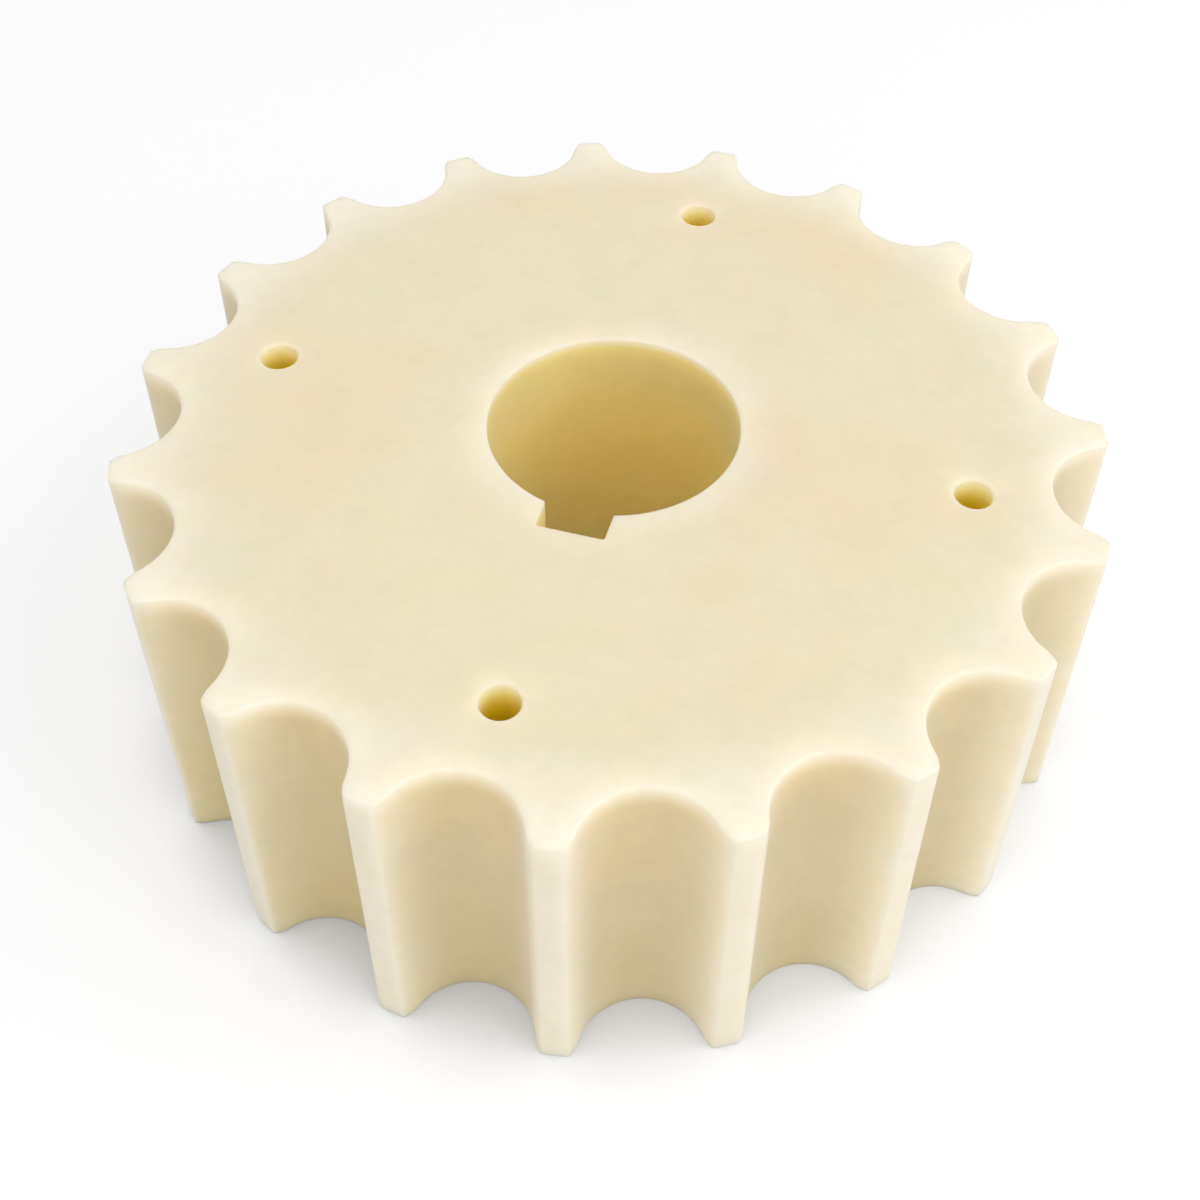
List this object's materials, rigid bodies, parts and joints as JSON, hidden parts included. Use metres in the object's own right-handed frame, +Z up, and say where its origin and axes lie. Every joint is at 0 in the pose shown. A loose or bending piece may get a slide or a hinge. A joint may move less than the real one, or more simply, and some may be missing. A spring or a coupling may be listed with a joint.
{
  "type": "conveyor chain sprocket",
  "caption": "Solid plastic drive sprocket for flat-top conveyor chain, with full-width rounded tooth gaps, a keyed through bore and small through holes near the rim.",
  "frame": {"origin": "centre of the bore in the lower face", "axes": "+Z up along the bore's axis; a tooth on +Y; a tooth gap, the keyway and one small hole on -Y"},
  "size_m": [0.1164, 0.1159, 0.042],
  "materials": {
    "natural_nylon": "satin, slightly translucent"
  },
  "bodies": {
    "root": {"sprocket": "natural_nylon"}
  },
  "joints": []
}
